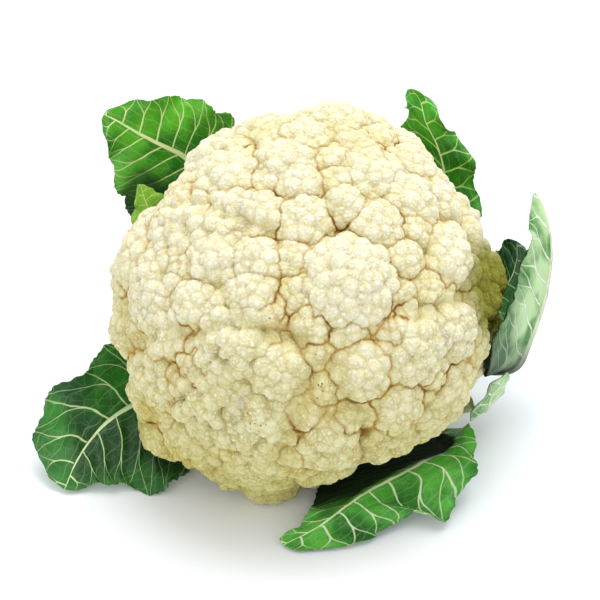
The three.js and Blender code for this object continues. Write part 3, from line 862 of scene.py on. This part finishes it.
LEAVES = {
    "leaf_left": dict(rib=5, wave=(3, 1.6, 0.06), veins=13, frill=1.3, turned=True),
    "leaf_front_right": dict(
        rib=5, wave=(5, 1.5, 0.06), veins=10, frill=1.3, turned=True, dark=(0.96, 0, 0.7),
        bold=0.1, shine=0.2,
    ),
    "leaf_right": dict(rib=4, wave=(4, 1.2, 0.05), veins=13, frill=0.9, turned=True, dark=(0.9, -0.6, 0.4)),
    "leaf_right_small": dict(rib=2, wave=(3, 1, 0.1), veins=7, frill=0.8, turned=True),
    "leaf_right_inner": dict(rib=1.6, wave=(3, 1.5, 0.06), veins=7, frill=1.0),
    "leaf_upper_right": dict(rib=2.2, wave=(5, 3, 0.1), veins=9, frill=2.2, bold=0.12),
    "leaf_upper_left": dict(
        rib=6, wave=(5, 1.8, 0.05), veins=9, frill=1.2, dark=(0.85, 0.3, 0.64), bold=0.06,
    ),
    "leaf_sprig": dict(rib=1.8, wave=(4, 0.8, 0.12), veins=5, frill=0.9),
    "leaf_back": dict(rib=5.5, wave=(4, 2, 0.06), veins=11, frill=1.4),
}

# %% Leaves on the table
LEAVES["leaf_left"]["stations"] = [
    (on_stem(66, 190), 8),
    ([-44.5, -37, -57], 8),
    ([-65, -28.5, -50], [-64.5, -41.5, -43], [-54.5, -54.5, -50]),
    ([-88.5, -18.5, -30], [-79.5, -46.5, -32], low(-55, -80, 3)),
    ([-105, -31.5, -21], [-92, -54.5, -25], low(-70.5, -84.5, 2.5)),
    ([-119, -43.5, -16], [-100, -63.5, -21], low(-85, -82, 4.5)),
    ([-125, -61, -15], low(-105.5, -73, 9), low(-95, -82, 4.5)),
    (low(-117.5, -79, 6), low(-110, -84.5, 2.5), low(-105, -85, 2)),
]
LEAVES["leaf_front_right"]["stations"] = [
    (on_stem(67, -38), 8),
    ([42, -51, -58], 8),
    ([40, -62, -46], [60, -64, -42], [74, -58, -34]),
    ([33, -70, -30], [64, -68, -24], [76, -55, -12]),
    ([20.5, -75.5, -22], [58, -70, -8], [77.5, -66, -2]),
    (low(9, -80, 2.5), [45, -76, 3], [75.5, -78.5, 5]),
    (low(4, -86.5, 3.5), low(31, -82.5, 13), low(61, -94.5, 8)),
    (low(3, -91, 7), low(18.5, -90, 11), low(49.5, -91, 10)),
    (low(-1, -96.5, 6), low(8, -97.5, 7), low(37.5, -99.5, 5)),
    (low(-7, -100.5, 4.5), low(-1, -102.5, 4), low(18.5, -106.5, 2.5)),
    (low(-11.5, -104, 2.5), low(-9.5, -106.5, 2), low(-4, -108.5, 2)),
]

# %% Leaves at the right
LEAVES["leaf_right"]["stations"] = [
    (on_stem(50, 6), 7),
    ([50, -22, -60], 7),
    ([76, -28, -50], 8),
    ([82, -32, 3], [97, -29, -32], [94, -8, -46]),
    ([83.5, -18, 24], [103.5, -14.5, -20], [98.5, 4, -48]),
    ([88.5, -4, 20], [109, 1, -18], [102.5, 17, -48]),
    ([97.5, 12, 4], [112.5, 15.5, -22], [107.5, 28, -44]),
    ([101.5, 28, -4], [113.5, 29.5, -24], [110, 37.5, -40]),
    ([104, 41.5, -18], [111, 44, -27], [109.5, 46.5, -35]),
    ([106.5, 51.5, -29], [108, 52.5, -30], [109, 51.5, -32]),
]
LEAVES["leaf_right_small"]["stations"] = [
    (on_stem(52, -32), 5),
    ([52, -41, -50], 5),
    ([76, -47, -40], 5),
    ([77, -54, -24], [84.5, -49, -27], [92, -43, -38]),
    ([77.5, -47, -12], [85.5, -43, -18], [93.5, -38.5, -30]),
    ([84, -38, -6], [89.5, -36.5, -13], [95, -34, -24]),
    ([91, -32.5, -8], [92, -32, -12], [93, -31, -16]),
]
LEAVES["leaf_right_inner"]["stations"] = [
    (on_stem(58, 32), 6),
    ([52, -3, -68], 6),
    ([79, 8, -60], [80, -3, -60], [84, -14, -64]),
    ([90, 22, -54], [96, 8.5, -56], [103, -5, -62]),
    ([93.5, 29, -48], [101, 20, -53], [109, 10, -60]),
    ([97, 31.5, -46], [101, 30.5, -49], [105.5, 27.5, -54]),
]

# %% Leaves behind the head
LEAVES["leaf_upper_right"]["stations"] = [
    (on_stem(66, 50), 7),
    ([34, 0, -76], 7),
    ([42, 38, -78], [56, 26, -70], [68, 12, -68]),
    ([38.5, 60, -70], [66, 44, -58], [82, 30, -52]),
    ([41, 75, -58], [67, 60, -49], [82.5, 51, -48]),
    ([47, 83.5, -48], [63, 75, -43], [78, 72, -43]),
    ([47.5, 90, -38], [57, 86.5, -38], [66.5, 84, -38]),
    ([47, 96, -34], [54, 96.5, -35], [61, 94.5, -36]),
    ([48, 101, -32], [50, 101.5, -32], [53.5, 100.5, -33]),
]
LEAVES["leaf_upper_left"]["stations"] = [
    (on_stem(66, 140), 7),
    ([-30, 20, -80], 7),
    ([-52, 20, -80], [-40, 47, -77], [-15, 66.5, -74]),
    ([-70, 30, -72], [-50, 64, -63], [-31, 80, -58]),
    ([-82, 42, -64], [-59, 72, -54], [-36.5, 90, -44]),
    ([-89, 53.5, -56], [-70, 77, -46], [-51, 96.5, -38]),
    ([-92, 66.5, -47], [-80, 82, -40], [-66, 98, -34]),
    ([-94.5, 78.5, -36], [-89, 87, -34], [-82.5, 95, -32]),
    ([-95.5, 87, -33], [-94.5, 89.5, -33], [-93, 91.5, -33]),
]
LEAVES["leaf_sprig"]["stations"] = [
    (on_stem(51, 160), 4),
    ([-50, 8, -66], 4),
    ([-66, 26, -60], 4),
    ([-82, 37, -52], [-73, 42, -52], [-66, 49, -54]),
    ([-81, 47.5, -45], [-76, 50, -45], [-69, 53, -47]),
    ([-79, 57, -40], [-78, 57, -41], [-76, 57, -42]),
]
LEAVES["leaf_back"]["stations"] = [
    (on_stem(66, 92), 7),
    ([2, 8.5, -84], 7),
    ([-19.5, 28.5, -90], [2, 28.5, -92], [24, 28.5, -88]),
    ([-35, 44, -94], [2, 46, -98], [37, 41.5, -92]),
    ([-33, 61.5, -98], [2, 61.5, -102], [37.5, 59, -97]),
    ([-20, 72.5, -102], [3.5, 75, -104], [24, 72.5, -102]),
    ([-3.5, 79.5, -104], [3.5, 80.5, -105], [9, 79.5, -104]),
]
print("leaves:", ", ".join(LEAVES))

# %% [markdown]
# ## Smooth curves through the stations
#
# A Catmull-Rom curve passes through every point that it is given. Spacing its knots by the square root
# of the distance between points keeps it from looping where stations are close together.

# %% A curve through points
def curve_through(points, t):
    """Places on a centripetal Catmull-Rom curve, where t runs from 0 to 1 over its points."""
    p = np.array(points, float)
    p = np.vstack([2 * p[0] - p[1], p, 2 * p[-1] - p[-2]])
    place = np.asarray(t) * (len(p) - 3)
    first = np.minimum(place.astype(int), len(p) - 4)
    w = (place - first)[:, None]
    a, b, c, d = (p[first + k] for k in range(4))
    gap = [np.sqrt(np.linalg.norm(v - u, axis=1))[:, None] for u, v in ((a, b), (b, c), (c, d))]
    start = ((b - a) / gap[0] - (c - a) / (gap[0] + gap[1]) + (c - b) / gap[1]) * gap[1]
    end = ((c - b) / gap[1] - (d - b) / (gap[1] + gap[2]) + (d - c) / gap[2]) * gap[1]
    return b + start * w + (3 * (c - b) - 2 * start - end) * w**2 + (2 * (b - c) + start + end) * w**3


def rails_of(stations, t):
    """Midrib, left edge and right edge of a leaf, and where along it the blade begins."""
    places = [np.array(s[0] if len(s) == 2 else s[1], float) for s in stations]
    left, right_edge = [], []
    for i, station in enumerate(stations):
        if len(station) == 3:
            left.append(station[0])
            right_edge.append(station[2])
            continue
        side = unit(np.cross(places[i + 1] - places[max(0, i - 1)], places[i])) * station[1]
        left.append(places[i] + side)
        right_edge.append(places[i] - side)
    blade_from = next(i for i, s in enumerate(stations) if len(s) == 3) / (len(stations) - 1)
    return curve_through(places, t), curve_through(left, t), curve_through(right_edge, t), blade_from


# %% [markdown]
# ## One leaf
#
# A cauliflower leaf has a thick pale midrib, side veins that leave it at a slant and fork near the edge,
# a blade that puffs up between them, and an edge that is toothed and frilled. The grid follows the rails,
# so all of these are simple sums of how far along and how far out a point is. The veins are too fine for
# the grid, so each point only stores which vein it lies between, and the paint draws them.

# %% The waved sheet of a leaf
LEAF_ROWS = 116
LEAF_COLUMNS = 29  # on each side of the midrib
SMALL_LEAVES = ("leaf_sprig", "leaf_right_small", "leaf_right_inner")
SMALL_SHARE = 0.65  # of the rows and columns, which is enough for them
TOOTH_DEPTH = 0.03  # as a share of the half width


def ease(value, start, end):
    """From 0 to 1 between two marks."""
    x = np.clip((value - start) / (end - start), 0, 1)
    return x * x * (3 - 2 * x)


def leaf_sheet(name, leaf):
    """The middle of the blade as a grid of places, and how far along and out each of them is."""
    share = SMALL_SHARE if name in SMALL_LEAVES else 1
    rows, columns = round(LEAF_ROWS * share) + 1, 2 * round(LEAF_COLUMNS * share) + 1
    t = np.linspace(0, 1, rows)
    rib_line, left, right_edge, blade_from = rails_of(leaf["stations"], t)
    t, s = t[:, None], np.linspace(-1, 1, columns)[None, :]
    seed = sum(map(ord, name)) % 97
    along = np.concatenate([[0], np.cumsum(np.linalg.norm(np.diff(rib_line, axis=0), axis=1))])[:, None]
    left_half, right_half = (np.linalg.norm(e - rib_line, axis=1)[:, None] for e in (left, right_edge))
    out = np.abs(s)
    aside = out * np.where(s < 0, left_half, right_half)
    count, height, cut = leaf["wave"]
    spread = ease(t, blade_from * 0.8, blade_from + 0.25)  # 0 on the stalk to 1 on the blade
    phase = 2 * math.pi * count * t + np.where(s < 0, 0, 2)
    swing = spread * s * s * np.minimum(1, 6 * (1 - t))
    teeth = 0.55 * np.sin(along * 2.1 + seed + 2 * np.sin(along * 0.37))
    teeth = teeth + 0.45 * np.sin(along * 0.93 + 3 * s + seed)
    near_edge = 0.8 * ease(out, 0.8, 1.0) * spread
    reach = out * (1 + cut * swing * np.cos(1.5 * phase) + near_edge * TOOTH_DEPTH * teeth)
    edge = np.where(s[..., None] < 0, left[:, None, :], right_edge[:, None, :])
    point = rib_line[:, None, :] + (edge - rib_line[:, None, :]) * reach[..., None]
    return point, height * swing * np.sin(phase), (t, s, out, along, aside, spread, blade_from, seed)


# %% Relief of a leaf
def leaf_relief(leaf, grid):
    """How far each place is lifted by puffs, ripples and frills, and which vein it is near."""
    t, s, out, along, aside, spread, _, seed = grid
    spacing = leaf["veins"]
    slant = 0.5 * aside + 0.006 * aside**2
    drift = 0.13 * np.sin(along * 0.11 + 2.3 * np.sign(s) + seed)
    drift = drift + 0.09 * np.sin(aside * 0.22 + along * 0.05 + seed)
    vein = (along - slant) / spacing + np.where(s < 0, 0.0, 0.47) + drift
    between = 2 * np.abs(vein - np.round(vein))  # 0 on a vein to 1 half way to the next
    puff = (1 - (1 - between) ** 2) * ease(aside, 1.5, 8) * (1 - 0.6 * out**3) * spread
    ripple = np.sin(along * 0.52 + aside * 0.31 + seed) * np.sin(aside * 0.63 - along * 0.17)
    frill = np.sin(along * 0.33 + 1.7 * np.sign(s) + seed) + 0.5 * np.sin(along * 0.71 + 2.6 * np.sign(s))
    frill = leaf["frill"] * 0.7 * ease(out, 0.55, 1.0) * spread * frill * np.minimum(1, 8 * (1 - t))
    return 0.09 * spacing * puff + 0.18 * spread * ripple, frill, vein


# %% Triangles of a leaf
def leaf_faces(rows, columns, turned):
    """Triangles of both faces of a leaf and of the wall round its rim."""
    grid = np.arange(rows * columns).reshape(rows, columns)
    front = two_triangles(grid[:-1, :-1], grid[:-1, 1:], grid[1:, 1:], grid[1:, :-1])
    rim = np.concatenate([grid[0, :-1], grid[:-1, -1], grid[-1, :0:-1], grid[:0:-1, 0]])
    after = np.roll(rim, -1)
    wall = two_triangles(rim, rim + grid.size, after + grid.size, after)
    faces = np.concatenate([front, front[:, ::-1] + grid.size, wall])
    return faces[:, ::-1] if turned else faces


# %% Build a leaf
BLADE = 0.75  # thickness, in millimetres
THINNER_EDGE = 0.35  # a blade is thinner by this share at its edge


def leaf_skins(name, leaf):
    """Points, triangles and traits of a leaf with both of its faces."""
    point, waves, grid = leaf_sheet(name, leaf)
    t, s, out, _, aside, _, blade_from, _ = grid
    relief, frill, vein = leaf_relief(leaf, grid)
    lift = waves + relief + frill
    normal = unit(np.cross(np.gradient(point, axis=1), np.gradient(point, axis=0)))
    rib_high = leaf["rib"] * (1 - 0.85 * t)
    rib_half = 0.5 * leaf["rib"] * (1.08 - t) ** 1.5
    keel = rib_high * np.exp(-((aside / rib_half) ** 2))
    thick = BLADE * (1 - THINNER_EDGE * ease(out, 0.7, 1.0))
    turned = leaf.get("turned", False)
    outwards = normal if turned else -normal
    blade_side = point - outwards * (thick / 2)[..., None] + normal * lift[..., None]
    back_side = point + outwards * (thick / 2 + keel)[..., None] + normal * lift[..., None]
    # the dark part of a leaf is a painted shadow: how dark, where it starts, how far along
    darkest, dark_out, dark_to = leaf.get("dark", (0, 0, 0.5))
    at_foot = 0.6 * (1 - ease(t, blade_from + 0.1, blade_from + 0.25))  # shade is wider near the stem
    in_painted_shadow = ease(at_foot - s, dark_out, dark_out + 0.22) * (1 - ease(t, dark_to - 0.1, dark_to + 0.1))
    traits = {
        "vein": vein,
        "aside": aside,
        "rib": aside / (rib_half + 0.1),
        "out": out,
        "dark": darkest * in_painted_shadow,
        "stalk": 1 - ease(t, blade_from * 0.6, blade_from * 0.95),
    }
    rows, columns = aside.shape
    traits = {trait: np.tile(np.broadcast_to(v, aside.shape).ravel(), 2) for trait, v in traits.items()}
    traits["outside"] = np.repeat([0.0, 1.0], aside.size)
    points = np.vstack([blade_side.reshape(-1, 3), back_side.reshape(-1, 3)])
    return points, leaf_faces(rows, columns, turned), traits


# %% [markdown]
# ## Tucking the leaves in
#
# Leaves hug the curd, so parts of them run into florets. Skin that lies deep in the curd can't be seen
# from anywhere, so it is left out. What reaches the table stops there, with the thickness of the blade.
# Little light gets in close to the curd, so each point also stores how near to it the leaf runs, and the
# paint darkens it there as painted shade.

# %% Place the leaves
SURE_INSIDE = 0.9  # closer to a floret's middle than this share of its radius is inside its skin
OUT_OF_SIGHT = 1.5  # leaf skin this deep in the curd is left out


def depth_in_curd(places):
    """How deep places lie in a floret or the heart."""
    far = np.linalg.norm(places, axis=1)
    deep = heart_reach(places / far[:, None]) - far
    for middle, radius in florets:
        deep = np.maximum(deep, SURE_INSIDE * radius - np.linalg.norm(places - middle, axis=1))
    return deep


leaf_pieces = {}
for name, leaf in LEAVES.items():
    places, faces, traits = leaf_skins(name, leaf)
    deep = depth_in_curd(places)
    faces = faces[(deep[faces] < OUT_OF_SIGHT).any(1)]
    kept, faces = np.unique(faces, return_inverse=True)
    points = on_table(places[kept])
    floor = np.where(traits["outside"][kept] > 0.5, 0.0, BLADE / 1000)
    points[:, 2] = np.maximum(points[:, 2], floor)
    traits = {trait: values[kept] for trait, values in traits.items()}
    # how near the curd each point runs: drives a painted shade
    traits["painted_curd_shade"] = ease(deep[kept], -13, -2)
    leaf_pieces[name] = stand_in(mesh_piece(name, points, faces.reshape(-1, 3), traits), name)
    print(name, len(leaf_pieces[name].data.polygons), "triangles")

# %% [markdown]
# ## The finish of the leaves
#
# The face that lay against the curd is green and rather glossy, with pale yellow-green veins. The outer
# face has a waxy bloom, so it is paler and bluer, and its veins stand out. The stored vein number rises
# by one from each side vein to the next: its distance from a whole number, times the spacing, gives
# millimetres from the nearest vein. Beyond half way out the vein splits in two, which makes the forks.
# Over all that lies painted shade: darker close to the curd, and a painted shadow, near black, on the
# dark part of a leaf.

# %% Veins of a leaf
def vein_lines(finish, spacing, bold):
    """Masks of the midrib, the side veins and the fine net, from 0 to 1."""
    out = finish.trait("out")
    wobble = finish.times(finish.sum("SUBTRACT", finish.noise(90, 2), 0.5), 0.22)
    vein = finish.sum("ADD", finish.trait("vein"), wobble)
    away = finish.times(finish.sum("PINGPONG", vein, 0.5), spacing)
    fork = finish.ease(out, 0.42, 1.1, 0.0, 0.46 * spacing)
    from_fork = finish.sum("ABSOLUTE", finish.sum("SUBTRACT", away, fork))
    width = finish.ease(out, 0.1, 0.95, 0.022 * spacing, 0.06)
    width = finish.sum("ADD", width, finish.times(finish.trait("outside"), 0.2))
    width = finish.sum("ADD", width, bold)
    soft = finish.sum("ADD", width, 0.32)
    line = finish.node("ShaderNodeMapRange", {"Value": from_fork, "From Min": soft, "From Max": width})
    side_veins = finish.times(line.outputs[0], finish.ease(out, 0.4, 0.95, 1.0, 0.55))
    rungs = 0.62 * spacing  # between the cross veins that join the side veins
    cross = finish.times(finish.trait("aside"), 1 / rungs)
    cross = finish.sum("ADD", cross, finish.times(finish.noise(70, 1), 1.1))
    ladder = finish.ease(finish.times(finish.sum("PINGPONG", cross, 0.5), rungs), 0.34, 0.05, 0.0, 0.3)
    net = finish.ease(finish.cells(200, "DISTANCE_TO_EDGE"), 0.06, 0.01, 0.0, 0.12)
    return finish.ease("rib", 1.1, 0.75), side_veins, finish.sum("MAXIMUM", ladder, net)


# %% Leaf finishes
def leaf_finish(name, green, dark, vein_colour, spacing, gloss, bold, shine):
    """A leaf's material: green and dark are the two shades of its inner face."""
    finish = Finish(name)
    midrib, side_veins, fine = vein_lines(finish, spacing, bold)
    outside = finish.trait("outside")
    finish.paint = finish.mix(finish.ease(finish.noise(35, 4), 0.35, 0.65), dark, green)
    finish.layer(finish.ease(side_veins, 0.0, 1.0, 0.0, 0.12), vein_colour)
    finish.layer(finish.ease("out", 0.93, 1.0, 0.0, 0.5), dark)
    bloom = finish.mix(finish.ease(finish.noise(48, 4), 0.36, 0.6), (50, 122, 34), (178, 210, 154))
    finish.layer(outside, bloom)
    pale = finish.mix(outside, vein_colour, (228, 240, 216))
    finish.layer(finish.times(fine, 0.55), pale)
    finish.layer(finish.times(side_veins, 0.85), pale)
    finish.layer(midrib, finish.mix(0.5, pale, (226, 234, 190)))
    finish.layer(finish.trait("stalk"), (206, 222, 160))
    # painted shade: darker close to the curd
    finish.layer(finish.times(finish.trait("painted_curd_shade"), 0.85), (84, 108, 76), "MULTIPLY")
    # painted shadow: near black on the dark part of a leaf
    finish.layer(finish.trait("dark"), (8, 26, 10))
    rough = finish.sum("MAXIMUM", finish.ease(outside, 0.0, 1.0, gloss, 0.62), finish.trait("dark"))
    finish.set(base_color=finish.paint, roughness=rough, specular_ior_level=shine)
    finish.set(subsurface_weight=0.08, subsurface_scale=0.001)
    ridge = finish.sum("MAXIMUM", side_veins, finish.times(fine, 0.5))
    ridge = finish.times(ridge, finish.ease(outside, 0, 1, -0.7, 1.0))
    grit = finish.sum("ADD", finish.times(finish.noise(650, 3), 0.5), finish.noise(150, 2))
    finish.bump(finish.sum("ADD", ridge, grit), 0.0006, 0.8)
    return finish.material


LEAF_SHINE = 0.36
LEAF_COLOURS = {  # two greens, the veins, and the gloss
    "leaf_upper_left": ((84, 176, 28), (28, 114, 14), (224, 242, 164), 0.4),
    "leaf_sprig": ((136, 196, 52), (74, 146, 32), (216, 234, 140), 0.42),
    "leaf_upper_right": ((62, 160, 20), (20, 102, 8), (190, 228, 120), 0.38),
    # darker greens, partly painted shade: this leaf lies behind the head and the tall leaf
    "leaf_right_inner": ((40, 104, 34), (16, 66, 20), (150, 196, 120), 0.4),
    "leaf_right": ((64, 140, 52), (30, 94, 34), (214, 234, 196), 0.45),
    "leaf_right_small": ((64, 140, 52), (30, 94, 34), (214, 234, 196), 0.45),
    "leaf_front_right": ((84, 174, 60), (22, 92, 28), (228, 246, 200), 0.4),
    "leaf_left": ((42, 122, 34), (12, 68, 20), (204, 232, 166), 0.46),
    "leaf_back": ((66, 142, 48), (30, 94, 28), (190, 220, 150), 0.4),
}
for name, (green, dark, vein_colour, gloss) in LEAF_COLOURS.items():
    leaf = LEAVES[name]
    bold, shine = leaf.get("bold", 0), leaf.get("shine", LEAF_SHINE)
    material = leaf_finish(name + "_green", green, dark, vein_colour, leaf["veins"], gloss, bold, shine)
    leaf_pieces[name].data.materials.append(material)
print("leaf finishes:", len(LEAF_COLOURS))

# %% [markdown]
# ## The table, the light and the camera
#
# The head lies on a plain white table. A wide soft light above, a little behind and to the right, with
# a pale sky all round, leaves only a soft shadow close under it. The camera looks straight at the face,
# so it looks down at the table by the angle that the face is lifted.

# %% The white table
TABLE_REACH = 3  # metres from its middle
floor_mesh = bpy.data.meshes.new("table")
floor_shape = bmesh.new()
bmesh.ops.create_grid(floor_shape, x_segments=2, y_segments=2, size=TABLE_REACH)
floor_shape.to_mesh(floor_mesh)
floor_shape.free()
table = bpy.data.objects.new("table", floor_mesh)
bpy.context.scene.collection.objects.link(table)
table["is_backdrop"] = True
white = Finish("white_table")
white.set(base_color=screen(242, 245, 251), roughness=0.8, specular_ior_level=0.2)
floor_mesh.materials.append(white.material)


# %% Soft light
def soft_light(name, place, aim, width, power):
    """A square area light that looks at a place."""
    light = bpy.data.lights.new(name, "AREA")
    light.shape = "SQUARE"
    light.size, light.energy = width, power
    lamp = bpy.data.objects.new(name, light)
    lamp.location = place
    lamp.rotation_euler = (Vector(aim) - Vector(place)).to_track_quat("-Z", "Y").to_euler()
    bpy.context.scene.collection.objects.link(lamp)


soft_light("overhead", (0.22, 0.3, 1.5), (0, 0, 0.08), 1.2, 16)
soft_light("front_left", (-0.7, -1.4, 0.7), (0, 0, 0.05), 1.4, 4)
SKY_STRENGTH = 0.94
world = bpy.data.worlds.new("studio")
world.use_nodes = True
world.node_tree.nodes["Background"].inputs[0].default_value = (1, 1, 1, 1)
world.node_tree.nodes["Background"].inputs[1].default_value = SKY_STRENGTH
bpy.context.scene.world = world
bpy.context.scene.view_settings.view_transform = "Standard"

# %% The camera
CAMERA_AWAY = 1000  # millimetres, far off so that near florets don't look large
LOOK_AT = (-2.3, 2.3)  # across and up on the face
lens = bpy.data.cameras.new("camera")
lens.lens, lens.sensor_width = 132, 36
camera = bpy.data.objects.new("camera", lens)
camera.location = on_table([*LOOK_AT, CAMERA_AWAY])[0]
camera.rotation_euler = (math.radians(90) - FACE_LIFT, 0, 0)
bpy.context.scene.collection.objects.link(camera)
bpy.context.scene.camera = camera

# %% [markdown]
# ## Measure and finish
#
# The dressed head has to keep the size of the measured one, so both boxes are printed.

# %% Measure and finish
scene_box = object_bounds()
boxes = {"cad": [list(map(float, c)) for c in cad_box], "scene": [list(map(float, c)) for c in scene_box]}
for name, (lowest, highest) in boxes.items():
    print(name, [round(1000 * v, 1) for v in lowest], [round(1000 * v, 1) for v in highest])
